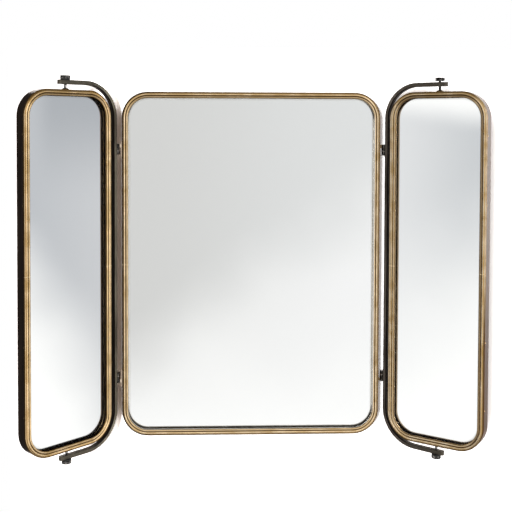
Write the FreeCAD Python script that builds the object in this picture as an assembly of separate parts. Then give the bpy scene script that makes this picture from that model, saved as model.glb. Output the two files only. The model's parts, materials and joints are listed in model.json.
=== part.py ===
import FreeCAD, Part
import math
import os

os.makedirs("parts", exist_ok=True)

# Trifold wall mirror: a fixed centre mirror and two side mirrors (wings), each carried in a
# C-shaped yoke arm that is hinged to the side of the centre mirror.
# Millimetres and degrees. +X is right, +Y goes into the wall and +Z is up. The origin is the
# middle of the centre mirror's back, which lies on the wall.

# Outlines of the three frames
CENTRE_WIDTH = 500.0
WING_WIDTH = 190.0
FRAME_HEIGHT = 668.0
CORNER_RADIUS = 50.0

# Section through a rail: a deep bead of two reeds inside a flat rim, which holds the glass in the
# routed front of the core panel, and an edge band around the panel and the back of the bead
BEAD_RIM = 2.6
REED_COUNT = 2
REED_WIDTH = 4.7
REED_RISE = 2.1
BEAD_SHOULDER = 2.3
BEAD_LIP = 7.3
GLASS_THICKNESS = 3.0
CORE_THICKNESS = 16.0
CORE_RIM = 7.5
BAND_THICKNESS = 1.5
BEAD_SEAM = 0.1
BEAD_CLEARANCE = 0.1
GLASS_CLEARANCE = 0.4
CORE_CLEARANCE = 0.2

# Pins through the upright sides of the band into the back of the bead
PIN_RADIUS = 0.8
PIN_HEAD_RADIUS = 1.6
PIN_HEAD_RISE = 0.8
PIN_GRIP = 2.0
PIN_INSET = 82.0

# Yoke arms: flat bar, bent to follow the wing at a constant gap
ARM_WIDTH = 8.0
ARM_DEPTH = 10.0
ARM_EDGE_BEVEL = 0.8
ARM_GAP = 10.0
ARM_OVERHANG = 16.0

# Knuckle hinges between the centre frame and the arms
HINGE_INSET = 114.0
HINGE_PIN_RADIUS = 2.0
HINGE_PIN_HEAD_RADIUS = 3.0
HINGE_PIN_HEAD_RISE = 1.5
KNUCKLE_RADIUS = 4.0
LUG_LENGTH = 12.6
ARM_KNUCKLE_LENGTH = 7.4
KNUCKLE_END_GAP = 0.2
KNUCKLE_ARM_GAP = 1.0
WEB_THICKNESS = 3.0
LUG_WEB_LENGTH = 6.5
LUG_STANDOFF = 3.0
LUG_PLATE_THICKNESS = 2.0
LUG_PLATE_DEPTH = 9.0
LUG_PLATE_CORNER = 2.0
LUG_PLATE_MARGIN = 6.4

# Wing pivots: thumb screw, friction washer, flared collar and threaded insert
SCREW_RADIUS = 2.5
SCREW_END_GAP = 0.5
SCREW_END_CHAMFER = 0.8
KNOB_RADIUS = 9.0
KNOB_HEIGHT = 6.5
KNOB_BEVEL = 0.8
KNOB_DOME_RISE = 0.4
KNOB_SEAT_GAP = 0.05
WASHER_RADIUS = 8.8
WASHER_THICKNESS = 2.2
COLLAR_RADIUS = 7.0
COLLAR_TOP_RADIUS = 4.2
COLLAR_RIM = 0.8
COLLAR_HEIGHT = 3.0
INSERT_WALL = 1.5
INSERT_COVER = 1.0
BAND_HOLE_CLEARANCE = 0.4
RUNNING_CLEARANCE = 0.05

# Keyhole plates let into the back of the centre core, and the countersunk wood screws
KEYHOLE_SPACING = 300.0
KEYHOLE_INSET = 110.0
KEYHOLE_ENTRY_RADIUS = 5.0
KEYHOLE_SLOT_RADIUS = 2.5
KEYHOLE_SLOT_RISE = 12.0
KEYHOLE_PLATE_WIDTH = 18.0
KEYHOLE_PLATE_END = 13.0
KEYHOLE_PLATE_CORNER = 4.0
KEYHOLE_PLATE_THICKNESS = 2.0
KEYHOLE_POCKET_COVER = 3.0
KEYHOLE_POCKET_MARGIN = 1.0
WOOD_SCREW_HEAD_RADIUS = 2.4
WOOD_SCREW_HEAD_HEIGHT = 1.5
WOOD_SCREW_RADIUS = 1.2
WOOD_SCREW_COVER = 1.0

# Pose at rest: how far each arm has swung out from the wall, and how far each wing is turned
# in its arm
LEFT_ARM_SWING = 43.0
LEFT_WING_TURN = 1.5
RIGHT_ARM_SWING = 39.0
RIGHT_WING_TURN = -4.0

# Places that follow from the sizes above
BEAD_WIDTH = BEAD_RIM + REED_COUNT * REED_WIDTH
BEAD_DEPTH = REED_RISE + BEAD_LIP
SHOULDER_DEPTH = REED_RISE + BEAD_SHOULDER
CORE_FRONT = -CORE_THICKNESS
FRAME_FRONT = CORE_FRONT - BEAD_DEPTH
BAND_FRONT = FRAME_FRONT + SHOULDER_DEPTH
GLASS_BACK = CORE_FRONT + GLASS_THICKNESS
BEAD_INSET = BAND_THICKNESS + BEAD_CLEARANCE
CORE_INSET = BAND_THICKNESS + CORE_CLEARANCE
POCKET_INSET = CORE_INSET + CORE_RIM
GLASS_INSET = POCKET_INSET + GLASS_CLEARANCE
INSERT_RADIUS = SCREW_RADIUS + INSERT_WALL
INSERT_LENGTH = CORE_RIM - INSERT_COVER
AXIS_Y = CORE_FRONT + INSERT_COVER + INSERT_RADIUS
FRAME_TOP = FRAME_HEIGHT / 2
WOOD_SCREW_LENGTH = -GLASS_BACK - WOOD_SCREW_COVER
KEYHOLE_POCKET_FRONT = GLASS_BACK + KEYHOLE_POCKET_COVER
HINGE_X = CENTRE_WIDTH / 2 + LUG_PLATE_THICKNESS + LUG_STANDOFF + KNUCKLE_RADIUS
HINGE_Z = FRAME_TOP - HINGE_INSET
ARM_OUTER_X = HINGE_X + KNUCKLE_RADIUS + KNUCKLE_ARM_GAP
PIVOT_X = ARM_OUTER_X + ARM_WIDTH + ARM_GAP + WING_WIDTH / 2
ARM_TOP = FRAME_TOP + ARM_GAP + ARM_WIDTH
PIN_TOP = FRAME_TOP - PIN_INSET
KEYHOLE_Z = FRAME_TOP - KEYHOLE_INSET

LEFT = -1
RIGHT = 1
V = FreeCAD.Vector
ORIGIN = V(0, 0, 0)
X_AXIS = V(1, 0, 0)
Y_AXIS = V(0, 1, 0)
Z_AXIS = V(0, 0, 1)


def edges_along(shape, direction):
    """The straight edges of a shape that run along a direction."""
    found = []
    for edge in shape.Edges:
        span = edge.valueAt(edge.LastParameter) - edge.valueAt(edge.FirstParameter)
        if edge.Curve.TypeId == "Part::GeomLine" and span.cross(direction).Length < 1e-6:
            found.append(edge)
    return found


def slab(width, height, radius, front, back):
    """Upright plate with rounded corners, centred on the Y axis."""
    block = Part.makeBox(width, back - front, height, V(-width / 2, front, -height / 2))
    return block.makeFillet(radius, edges_along(block, Y_AXIS))


def inset_slab(width, inset, front, back):
    """Plate that follows a frame's outline at a distance inside it."""
    return slab(width - 2 * inset, FRAME_HEIGHT - 2 * inset, CORNER_RADIUS - inset, front, back)


def line(start, end):
    return Part.makeLine(start, end)


def chain(points):
    """Straight edges through a list of points."""
    return [line(a, b) for a, b in zip(points, points[1:])]


def turned(edges):
    """Solid turned about the Z axis from a closed profile in the XZ plane."""
    return Part.Face(Part.Wire(edges)).revolve(ORIGIN, Z_AXIS, 360)


def dome(radius, base, rise):
    """Arc in the XZ plane from a rim to the top of a round head."""
    sphere_radius = (radius ** 2 + rise ** 2) / (2 * rise)
    centre = base + rise - sphere_radius
    half_angle = math.asin(radius / sphere_radius) / 2
    middle = V(sphere_radius * math.sin(half_angle), 0, centre + sphere_radius * math.cos(half_angle))
    return Part.Arc(V(radius, 0, base), middle, V(0, 0, base + rise)).toShape()


def post(radius, bottom, top, x=0.0, y=0.0):
    return Part.makeCylinder(radius, top - bottom, V(x, y, bottom), Z_AXIS)


def headed_pin(radius, length, head_radius, head_rise):
    """Pin along Z with the underside of its tapered head at z = 0."""
    return turned(chain([
        V(0, 0, head_rise),
        V(0, 0, -length),
        V(radius, 0, -length),
        V(radius, 0, 0),
        V(head_radius, 0, 0),
        V(radius, 0, head_rise),
        V(0, 0, head_rise),
    ]))


def wood_screw():
    """Countersunk screw along Z with its flat head flush with z = 0."""
    return turned(chain([
        V(0, 0, 0),
        V(0, 0, -WOOD_SCREW_LENGTH),
        V(WOOD_SCREW_RADIUS, 0, -WOOD_SCREW_LENGTH),
        V(WOOD_SCREW_RADIUS, 0, -WOOD_SCREW_HEAD_HEIGHT),
        V(WOOD_SCREW_HEAD_RADIUS, 0, 0),
        V(0, 0, 0),
    ]))


def pointing(shape, axis, place):
    """Copy of a piece made along Z, laid along another axis at a place."""
    copy = shape.copy()
    copy.Placement = FreeCAD.Placement(place, FreeCAD.Rotation(Z_AXIS, axis))
    return copy


def below(shape):
    """Mirror image of an upper piece, for the lower end."""
    return shape.mirror(ORIGIN, Z_AXIS)


# Frames: bead halves, edge band, glass, core panel and pins

def bead_half(width):
    """Upper half of the bead: the reeded section swept up one side, over and down the other."""
    side = width / 2
    bend = side - CORNER_RADIUS
    shoulder = FRAME_TOP - CORNER_RADIUS
    diagonal = CORNER_RADIUS * math.sqrt(0.5)
    seam = BEAD_SEAM / 2

    def front(x, z):
        return V(x, FRAME_FRONT, z)

    def corner(hand):
        crown = front(hand * (bend + diagonal), shoulder + diagonal)
        return Part.Arc(front(hand * side, shoulder), crown, front(hand * bend, FRAME_TOP)).toShape()

    path = Part.Wire([
        line(front(-side, seam), front(-side, shoulder)),
        corner(LEFT),
        line(front(-bend, FRAME_TOP), front(bend, FRAME_TOP)),
        corner(RIGHT),
        line(front(side, shoulder), front(side, seam)),
    ])

    def section(inward, behind):
        return V(inward - side, FRAME_FRONT + behind, seam)

    reeds = []
    for count in range(REED_COUNT):
        valley = BEAD_RIM + count * REED_WIDTH
        crest = section(valley + REED_WIDTH / 2, 0)
        reed = Part.Arc(section(valley, REED_RISE), crest, section(valley + REED_WIDTH, REED_RISE))
        reeds.append(reed.toShape())
    rest = chain([
        section(BEAD_WIDTH, REED_RISE),
        section(BEAD_WIDTH, BEAD_DEPTH),
        section(BEAD_INSET, BEAD_DEPTH),
        section(BEAD_INSET, SHOULDER_DEPTH),
        section(0, SHOULDER_DEPTH),
        section(0, REED_RISE),
        section(BEAD_RIM, REED_RISE),
    ])
    return path.makePipeShell([Part.Wire(reeds + rest)], True, False)


def band_pins(width):
    """Pins at four levels on both upright sides, midway across the back of the bead."""
    pin = headed_pin(PIN_RADIUS, BEAD_INSET + PIN_GRIP, PIN_HEAD_RADIUS, PIN_HEAD_RISE)
    depth = (BAND_FRONT + CORE_FRONT) / 2
    pins = []
    for hand in (LEFT, RIGHT):
        for level in (PIN_TOP, PIN_TOP / 2, -PIN_TOP / 2, -PIN_TOP):
            pins.append(pointing(pin, X_AXIS * hand, V(hand * width / 2, depth, level)))
    return pins


def frame_pieces(width):
    """One mirror, centred on the Y axis with its back at y = 0."""
    pins = band_pins(width)
    upper = bead_half(width)
    band = inset_slab(width, 0, BAND_FRONT, 0)
    band = band.cut(inset_slab(width, BAND_THICKNESS, BAND_FRONT, 0))
    core = inset_slab(width, CORE_INSET, CORE_FRONT, 0)
    pocket = inset_slab(width, POCKET_INSET, CORE_FRONT, GLASS_BACK)
    return {
        "bead_upper": upper.cut(pins),
        "bead_lower": below(upper).cut(pins),
        "edge_band": band.cut(pins),
        "mirror_glass": inset_slab(width, GLASS_INSET, CORE_FRONT, GLASS_BACK),
        "core_panel": core.cut(pocket),
        "band_pins": Part.makeCompound(pins),
    }


# Keyhole plates on the centre mirror

def keyhole(radius, rise, extra, front, back, x):
    """Round opening with a slot that rises from it, each grown by an extra margin."""
    depth = back - front
    hole = Part.makeCylinder(radius + extra, depth, V(x, front, KEYHOLE_Z), Y_AXIS)
    end = Part.makeCylinder(KEYHOLE_SLOT_RADIUS + extra, depth, V(x, front, KEYHOLE_Z + rise), Y_AXIS)
    half = KEYHOLE_SLOT_RADIUS + extra
    slot = Part.makeBox(2 * half, depth, rise, V(x - half, front, KEYHOLE_Z))
    return hole.fuse([slot, end])


def keyhole_set(x):
    """One plate, its two screws and the pocket behind its opening."""
    bottom = KEYHOLE_Z - KEYHOLE_ENTRY_RADIUS - KEYHOLE_PLATE_END
    top = KEYHOLE_Z + KEYHOLE_SLOT_RISE + KEYHOLE_SLOT_RADIUS + KEYHOLE_PLATE_END
    plate = slab(KEYHOLE_PLATE_WIDTH, top - bottom, KEYHOLE_PLATE_CORNER, -KEYHOLE_PLATE_THICKNESS, 0)
    plate.translate(V(x, 0, (top + bottom) / 2))
    recess = plate.copy()
    opening = keyhole(KEYHOLE_ENTRY_RADIUS, KEYHOLE_SLOT_RISE, 0, -KEYHOLE_PLATE_THICKNESS, 0, x)
    margin = KEYHOLE_POCKET_MARGIN
    pocket = keyhole(KEYHOLE_ENTRY_RADIUS, KEYHOLE_SLOT_RISE, margin, KEYHOLE_POCKET_FRONT, 0, x)
    screws = []
    for level in (bottom + KEYHOLE_PLATE_END / 2, top - KEYHOLE_PLATE_END / 2):
        screws.append(pointing(wood_screw(), Y_AXIS, V(x, 0, level)))
    return plate.cut([opening] + screws), screws, [recess, pocket] + screws


# Knuckle hinges, made for the upper right corner with the arm lying flat

def knuckle(web_end_x, bottom, length, web_length):
    """Barrel on the hinge axis, with a web that reaches to one side from its upper end."""
    barrel = post(KNUCKLE_RADIUS, bottom, bottom + length, HINGE_X, AXIS_Y)
    corner = V(min(HINGE_X, web_end_x), AXIS_Y - WEB_THICKNESS / 2, bottom + length - web_length)
    web = Part.makeBox(abs(web_end_x - HINGE_X), WEB_THICKNESS, web_length, corner)
    return barrel.fuse(web)


def hinge_bore(radius):
    return post(radius, HINGE_Z - 2 * LUG_LENGTH, HINGE_Z + 2 * LUG_LENGTH, HINGE_X, AXIS_Y)


def hinge_lug():
    """Lug of the upper hinge: barrel above the joint line, web and base plate, and its two screws."""
    side = CENTRE_WIDTH / 2
    face = side + LUG_PLATE_THICKNESS
    bottom = HINGE_Z + KNUCKLE_END_GAP / 2
    plate_top = bottom + LUG_LENGTH + LUG_PLATE_MARGIN
    plate_bottom = HINGE_Z - KNUCKLE_END_GAP / 2 - ARM_KNUCKLE_LENGTH - LUG_PLATE_MARGIN
    corner = V(side, AXIS_Y - LUG_PLATE_DEPTH / 2, plate_bottom)
    plate = Part.makeBox(LUG_PLATE_THICKNESS, LUG_PLATE_DEPTH, plate_top - plate_bottom, corner)
    plate = plate.makeFillet(LUG_PLATE_CORNER, edges_along(plate, X_AXIS))
    screws = []
    for level in (plate_bottom + LUG_PLATE_MARGIN / 2, plate_top - LUG_PLATE_MARGIN / 2):
        screws.append(pointing(wood_screw(), X_AXIS, V(face, AXIS_Y, level)))
    lug = knuckle(face, bottom, LUG_LENGTH, LUG_WEB_LENGTH).fuse(plate)
    lug = lug.cut([hinge_bore(HINGE_PIN_RADIUS)] + screws)
    return lug.removeSplitter(), screws


def arm_knuckle():
    """Knuckle below the joint line, on the outer face of the arm."""
    bottom = HINGE_Z - KNUCKLE_END_GAP / 2 - ARM_KNUCKLE_LENGTH
    body = knuckle(ARM_OUTER_X, bottom, ARM_KNUCKLE_LENGTH, ARM_KNUCKLE_LENGTH)
    return body.cut(hinge_bore(HINGE_PIN_RADIUS + RUNNING_CLEARANCE)).removeSplitter()


def hinge_pin():
    """Pin through both knuckles, with its head on the lug."""
    length = LUG_LENGTH + KNUCKLE_END_GAP + ARM_KNUCKLE_LENGTH
    pin = headed_pin(HINGE_PIN_RADIUS, length, HINGE_PIN_HEAD_RADIUS, HINGE_PIN_HEAD_RISE)
    return pointing(pin, Z_AXIS, V(HINGE_X, AXIS_Y, HINGE_Z + KNUCKLE_END_GAP / 2 + LUG_LENGTH))


# Yoke arm, flat on the right-hand side

def yoke_arm():
    """C-shaped bar: a rounded ring around the wing, kept up to round ends past the pivots."""
    front = AXIS_Y - ARM_DEPTH / 2
    back = AXIS_Y + ARM_DEPTH / 2
    inner_radius = CORNER_RADIUS + ARM_GAP
    inner = slab(WING_WIDTH + 2 * ARM_GAP, FRAME_HEIGHT + 2 * ARM_GAP, inner_radius, front, back)
    outer = slab(WING_WIDTH + 2 * (ARM_GAP + ARM_WIDTH), 2 * ARM_TOP, inner_radius + ARM_WIDTH, front, back)
    ring = outer.cut(inner)
    rims = []
    for edge in ring.Edges:
        box = edge.BoundBox
        if box.YLength < 1e-6:
            rims.append(edge)
    ring = ring.makeChamfer(ARM_EDGE_BEVEL, rims)
    ring.translate(V(PIVOT_X, 0, 0))
    end = PIVOT_X + ARM_OVERHANG - ARM_DEPTH / 2
    reach = Part.makeBox(end - HINGE_X, ARM_DEPTH, 2 * ARM_TOP, V(HINGE_X, front, -ARM_TOP))
    reach = reach.fuse(post(ARM_DEPTH / 2, -ARM_TOP, ARM_TOP, end, AXIS_Y)).removeSplitter()
    pivots = post(SCREW_RADIUS + RUNNING_CLEARANCE, -ARM_TOP, ARM_TOP, PIVOT_X, AXIS_Y)
    return ring.common(reach).cut(pivots)


# Wing pivots, made for the upper end with the pivot on the Z axis

def thumb_screw():
    """Round knob with a flat underside, with the shank down to the insert."""
    shank_end = FRAME_TOP - CORE_INSET - INSERT_LENGTH + SCREW_END_GAP
    knob_bottom = ARM_TOP + WASHER_THICKNESS + KNOB_SEAT_GAP
    knob_top = knob_bottom + KNOB_HEIGHT - KNOB_DOME_RISE
    crown_radius = KNOB_RADIUS - KNOB_BEVEL
    profile = chain([
        V(0, 0, knob_top + KNOB_DOME_RISE),
        V(0, 0, shank_end),
        V(SCREW_RADIUS - SCREW_END_CHAMFER, 0, shank_end),
        V(SCREW_RADIUS, 0, shank_end + SCREW_END_CHAMFER),
        V(SCREW_RADIUS, 0, knob_bottom),
        V(crown_radius, 0, knob_bottom),
        V(KNOB_RADIUS, 0, knob_bottom + KNOB_BEVEL),
        V(KNOB_RADIUS, 0, knob_top - KNOB_BEVEL),
        V(crown_radius, 0, knob_top),
    ])
    return turned(profile + [dome(crown_radius, knob_top, KNOB_DOME_RISE)])


def friction_washer():
    """Washer between the arm and the knob."""
    washer = post(WASHER_RADIUS, ARM_TOP, ARM_TOP + WASHER_THICKNESS)
    return washer.cut(post(SCREW_RADIUS + RUNNING_CLEARANCE, ARM_TOP, ARM_TOP + WASHER_THICKNESS))


def pivot_collar():
    """Flared collar on the outside of the wing's band."""
    bore = SCREW_RADIUS + RUNNING_CLEARANCE
    rim = FRAME_TOP + COLLAR_RIM
    top = FRAME_TOP + COLLAR_HEIGHT
    return turned(chain([
        V(COLLAR_TOP_RADIUS, 0, top),
        V(bore, 0, top),
        V(bore, 0, FRAME_TOP),
        V(COLLAR_RADIUS, 0, FRAME_TOP),
        V(COLLAR_RADIUS, 0, rim),
        V(COLLAR_TOP_RADIUS, 0, top),
    ]))


def threaded_insert():
    """Bush let into the edge of the wing's core panel."""
    top = FRAME_TOP - CORE_INSET
    bottom = top - INSERT_LENGTH
    return post(INSERT_RADIUS, bottom, top).cut(post(SCREW_RADIUS + RUNNING_CLEARANCE, bottom, top))


# Assembly

pieces = {}


def add(name, shape):
    pieces[name] = shape


def centre_mirror():
    frame = frame_pieces(CENTRE_WIDTH)
    plates = []
    plate_screws = []
    core_cuts = []
    for hand in (LEFT, RIGHT):
        plate, screws, cuts = keyhole_set(hand * KEYHOLE_SPACING / 2)
        plates.append(plate)
        plate_screws += screws
        core_cuts += cuts
    lug_screws = []
    for hand, side_name in ((LEFT, "left"), (RIGHT, "right")):
        for end_name in ("upper", "lower"):
            lug, screws = hinge_lug()
            pin = hinge_pin()
            hinge = [lug, pin] + screws
            if end_name == "lower":
                hinge = [below(piece) for piece in hinge]
            if hand == LEFT:
                hinge = [piece.mirror(ORIGIN, X_AXIS) for piece in hinge]
            add(f"{side_name}_{end_name}_hinge_lug", hinge[0])
            add(f"{side_name}_{end_name}_hinge_pin", hinge[1])
            lug_screws += hinge[2:]
    frame["core_panel"] = frame["core_panel"].cut(core_cuts + lug_screws)
    frame["edge_band"] = frame["edge_band"].cut(lug_screws)
    for name, shape in frame.items():
        add(f"centre_{name}", shape)
    add("hinge_lug_screws", Part.makeCompound(lug_screws))
    add("keyhole_plates", Part.makeCompound(plates))
    add("keyhole_plate_screws", Part.makeCompound(plate_screws))


def placed(shape, side, swing, turn=0.0):
    """Piece of the flat right-hand side, taken to either side and to its pose at rest."""
    if side == LEFT:
        shape = shape.mirror(ORIGIN, X_AXIS)
    else:
        shape = shape.copy()
    shape.rotate(V(side * PIVOT_X, AXIS_Y, 0), Z_AXIS, -side * turn)
    shape.rotate(V(side * HINGE_X, AXIS_Y, 0), Z_AXIS, -side * swing)
    return shape


def wing(side, side_name, swing, turn, washer_ends):
    """Side mirror, its yoke arm and its pivots; washer_ends names the ends that have a washer."""
    to_pivot = V(PIVOT_X, AXIS_Y, 0)
    frame = frame_pieces(WING_WIDTH)
    shank_hole = post(SCREW_RADIUS + BAND_HOLE_CLEARANCE, -FRAME_TOP, FRAME_TOP, 0, AXIS_Y)
    insert_seat = post(INSERT_RADIUS, FRAME_TOP - CORE_INSET - INSERT_LENGTH, FRAME_TOP, 0, AXIS_Y)
    frame["edge_band"] = frame["edge_band"].cut(shank_hole)
    frame["core_panel"] = frame["core_panel"].cut([insert_seat, below(insert_seat)])
    for name, shape in frame.items():
        shape.translate(V(PIVOT_X, 0, 0))
        add(f"{side_name}_wing_{name}", placed(shape, side, swing, turn))
    add(f"{side_name}_yoke_arm", placed(yoke_arm(), side, swing))
    for end_name in ("upper", "lower"):
        ends = {
            "thumb_screw": thumb_screw(),
            "pivot_collar": pivot_collar(),
            "threaded_insert": threaded_insert(),
        }
        if end_name in washer_ends:
            ends["friction_washer"] = friction_washer()
        for shape in ends.values():
            shape.translate(to_pivot)
        ends["arm_knuckle"] = arm_knuckle()
        for name, shape in ends.items():
            if end_name == "lower":
                shape = below(shape)
            own_turn = 0.0 if name in ("arm_knuckle", "friction_washer") else turn
            add(f"{side_name}_{end_name}_{name}", placed(shape, side, swing, own_turn))


centre_mirror()
wing(LEFT, "left", LEFT_ARM_SWING, LEFT_WING_TURN, ("upper", "lower"))
wing(RIGHT, "right", RIGHT_ARM_SWING, RIGHT_WING_TURN, ("lower",))

for name, shape in pieces.items():
    if not shape.isValid():
        raise ValueError(f"{name} is not a valid shape")
    shape.exportStep(f"parts/{name}.step")
print(len(pieces), "pieces")
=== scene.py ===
import json
import math

import bmesh
import bpy
from mathutils import Matrix, Vector


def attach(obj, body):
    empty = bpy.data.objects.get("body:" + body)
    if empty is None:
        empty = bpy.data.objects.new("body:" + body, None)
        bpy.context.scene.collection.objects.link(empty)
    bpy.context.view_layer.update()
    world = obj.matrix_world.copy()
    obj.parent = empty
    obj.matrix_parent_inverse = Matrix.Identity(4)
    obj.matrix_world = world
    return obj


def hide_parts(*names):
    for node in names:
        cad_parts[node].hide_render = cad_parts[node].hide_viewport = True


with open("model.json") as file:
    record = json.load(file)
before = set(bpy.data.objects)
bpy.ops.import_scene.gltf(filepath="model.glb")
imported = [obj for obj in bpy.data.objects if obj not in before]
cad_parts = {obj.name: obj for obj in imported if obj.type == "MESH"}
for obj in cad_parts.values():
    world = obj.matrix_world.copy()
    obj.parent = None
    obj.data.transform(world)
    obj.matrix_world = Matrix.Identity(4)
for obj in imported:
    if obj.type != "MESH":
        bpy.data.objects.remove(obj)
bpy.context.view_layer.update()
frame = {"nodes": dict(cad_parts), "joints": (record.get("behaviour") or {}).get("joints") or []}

# Core boards
# Each of the three mirrors is built on a board stained dark brown, sawn to the outline with
# rounded corners. The edge band wraps its edge, and the middle board hangs with its back to the wall.


class Field:
    """A socket in a finish's node tree. Arithmetic on it adds Math nodes to that tree."""

    def __init__(self, tree, socket=None):
        self.tree = tree
        self.socket = socket

    def node(self, kind, settings=None, inputs=None, output=0):
        """Adds one node: its settings first, then the values or links of its sockets."""
        made = self.tree.nodes.new("ShaderNode" + kind)
        for name, value in (settings or {}).items():
            setattr(made, name, value)
        for name, value in (inputs or {}).items():
            socket = made.inputs[name]
            if isinstance(value, Field):
                self.tree.links.new(value.socket, socket)
            elif socket.type == "RGBA":
                socket.default_value = (*value, 1.0)
            else:
                socket.default_value = value
        return Field(self.tree, made.outputs[output] if len(made.outputs) else None)

    def math(self, operation, *values):
        return self.node("Math", {"operation": operation}, dict(enumerate(values)))

    def __add__(self, other):
        return self.math("ADD", self, other)

    def __radd__(self, other):
        return self.math("ADD", other, self)

    def __sub__(self, other):
        return self.math("SUBTRACT", self, other)

    def __rsub__(self, other):
        return self.math("SUBTRACT", other, self)

    def __mul__(self, other):
        return self.math("MULTIPLY", self, other)

    def __rmul__(self, other):
        return self.math("MULTIPLY", other, self)

    def __truediv__(self, other):
        return self.math("DIVIDE", self, other)

    def __neg__(self):
        return self.math("MULTIPLY", self, -1.0)

    def __abs__(self):
        return self.math("ABSOLUTE", self)


def rise(value, low, high):
    """0 at low, 1 at high and a smooth curve between them; low may be the larger."""
    settings = {"interpolation_type": "SMOOTHSTEP"}
    return value.node("MapRange", settings, {"Value": value, "From Min": low, "From Max": high})


def tint(mask, plain, other):
    """A colour that goes from plain to other as the mask goes from 0 to 1."""
    return mask.node("Mix", {"data_type": "RGBA"}, {0: mask, 6: plain, 7: other}, output=2)


def cloud(place, scale, detail=4.0, stretch=(1.0, 1.0, 1.0)):
    """Random soft patches from 0 to 1, scale of them to the metre."""
    if stretch != (1.0, 1.0, 1.0):
        place = place.node("Mapping", {}, {"Vector": place, "Scale": stretch})
    return place.node("TexNoise", {}, {"Vector": place, "Scale": scale, "Detail": detail})


def start_finish(name):
    """A new material and the Object coordinates that its pattern is laid out on."""
    material = bpy.data.materials.new(name)
    material.use_nodes = True
    material.node_tree.nodes.clear()
    return material, Field(material.node_tree).node("TexCoord", output="Object")


def end_finish(place, relief=None, depth=0.0, **sockets):
    """Feeds the surface shader, with the relief as bumps of the given depth in metres."""
    inputs = {}
    for name, value in sockets.items():
        inputs[name.replace("_", " ")] = value
    if relief:
        inputs["Normal"] = place.node("Bump", {}, {"Height": relief, "Distance": depth})
    surface = place.node("BsdfPrincipled", {}, inputs)
    place.node("OutputMaterial", {}, {"Surface": surface})


def give(material, *names):
    """Puts a finish on CAD pieces."""
    for name in names:
        frame["nodes"][name].material_slots[0].material = material


MM = 0.001
MIRRORS = ("centre", "left_wing", "right_wing")
STAIN_DARK = (0.030, 0.019, 0.012)
STAIN_LIGHT = (0.085, 0.054, 0.033)
GRAIN_SCALE = 220.0
FIGURE_SCALE = 30.0
GRAIN_STRETCH = (1.0, 1.0, 0.05)
GRAIN_RELIEF = 0.3 * MM

stained_board, place = start_finish("stained_board")
grain = cloud(place, GRAIN_SCALE, 6.0, GRAIN_STRETCH)
figure = cloud(place, FIGURE_SCALE, 3.0, GRAIN_STRETCH)
wood = rise(grain * 0.6 + figure * 0.4, 0.3, 0.7)
end_finish(
    place,
    relief=grain,
    depth=GRAIN_RELIEF,
    Base_Color=tint(wood, STAIN_DARK, STAIN_LIGHT),
    Roughness=0.5 + 0.2 * grain,
)
give(stained_board, *[name + "_core_panel" for name in MIRRORS])

# Mirror glass
# A 3 mm sheet of clear glass lies on each board, held round its edge by the bead. The
# silvering is a thin bright film on the back of the sheet, a little dulled along its edge.

AXIS_FROM_BACK = 11.0 * MM
FRAME_HALF_HEIGHT = 334.0 * MM
FRAME_CORNER = 50.0 * MM
FRAME_HALF_WIDTH = {"centre": 250.0 * MM, "left_wing": 95.0 * MM, "right_wing": 95.0 * MM}
FRAME_TURN = {"centre": 0.0, "left_wing": math.radians(44.5), "right_wing": math.radians(-35.0)}
GLASS_TINT = (0.992, 0.996, 0.994)
GLASS_IOR = 1.52
SMEAR_SCALE = 9.0
SMEAR_ROUGHNESS = 0.012
UPRIGHT = (math.pi / 2, 0.0, 0.0)
FILM_INSET = 9.7 * MM
FILM_THICKNESS = 0.04 * MM
FILM_FROM_BACK = 13.05 * MM
FILM_CORNER_STEPS = 16
SILVER = (0.965, 0.968, 0.966)
SILVER_DULLED = (0.72, 0.71, 0.68)
MOTTLE_SCALE = 14.0
DULLED_EDGE = (15.0, 11.0)
DULLED_WANDER = 4.0

pivots = {}
for joint in frame["joints"]:
    if joint["name"].endswith("_wing_turn"):
        pivots[joint["name"].replace("_turn", "")] = Vector(joint["pos_m"])


def mirror_matrix(name, turn=None):
    """From a mirror's own frame, with the middle of its back at the origin, to its place."""
    turned = Matrix.Rotation(FRAME_TURN[name] if turn is None else turn, 4, "Z")
    if name == "centre":
        return turned
    middle = pivots[name] + turned @ Vector((0.0, AXIS_FROM_BACK, 0.0))
    return Matrix.Translation(middle) @ turned


def in_mirror(place, name, turn=None):
    """A mirror's own coordinates, in metres: across, in depth from its back, and up."""
    matrix = mirror_matrix(name, turn)
    inputs = {
        "Vector": place,
        "Location": matrix.to_translation(),
        "Rotation": matrix.to_euler(),
    }
    own = place.node("Mapping", {"vector_type": "TEXTURE"}, inputs)
    axes = []
    for axis in "XYZ":
        axes.append(own.node("SeparateXYZ", {}, {"Vector": own}, output=axis))
    return axes


def inward(across, up, name):
    """Millimetres in from a mirror's rounded outline, so 0 on it and less outside it."""
    side = abs(across) - (FRAME_HALF_WIDTH[name] - FRAME_CORNER)
    end = abs(up) - (FRAME_HALF_HEIGHT - FRAME_CORNER)
    side_out = side.math("MAXIMUM", side, 0.0)
    end_out = end.math("MAXIMUM", end, 0.0)
    rounded = side_out.math("SQRT", side_out * side_out + end_out * end_out)
    straight = side.math("MINIMUM", side.math("MAXIMUM", side, end), 0.0)
    return (FRAME_CORNER - rounded - straight) / MM


def edit(piece):
    """Opens one piece for modelling, with nothing selected in it."""
    bpy.ops.object.select_all(action="DESELECT")
    piece.select_set(True)
    bpy.context.view_layer.objects.active = piece
    bpy.ops.object.mode_set(mode="EDIT")
    bpy.ops.mesh.select_all(action="DESELECT")


clear_glass, place = start_finish("clear_glass")
smear = rise(cloud(place, SMEAR_SCALE, 5.0), 0.45, 0.8)
end_finish(
    place,
    Base_Color=GLASS_TINT,
    Roughness=SMEAR_ROUGHNESS * smear,
    Transmission_Weight=1.0,
    IOR=GLASS_IOR,
)
give(clear_glass, *[name + "_mirror_glass" for name in MIRRORS])

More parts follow.
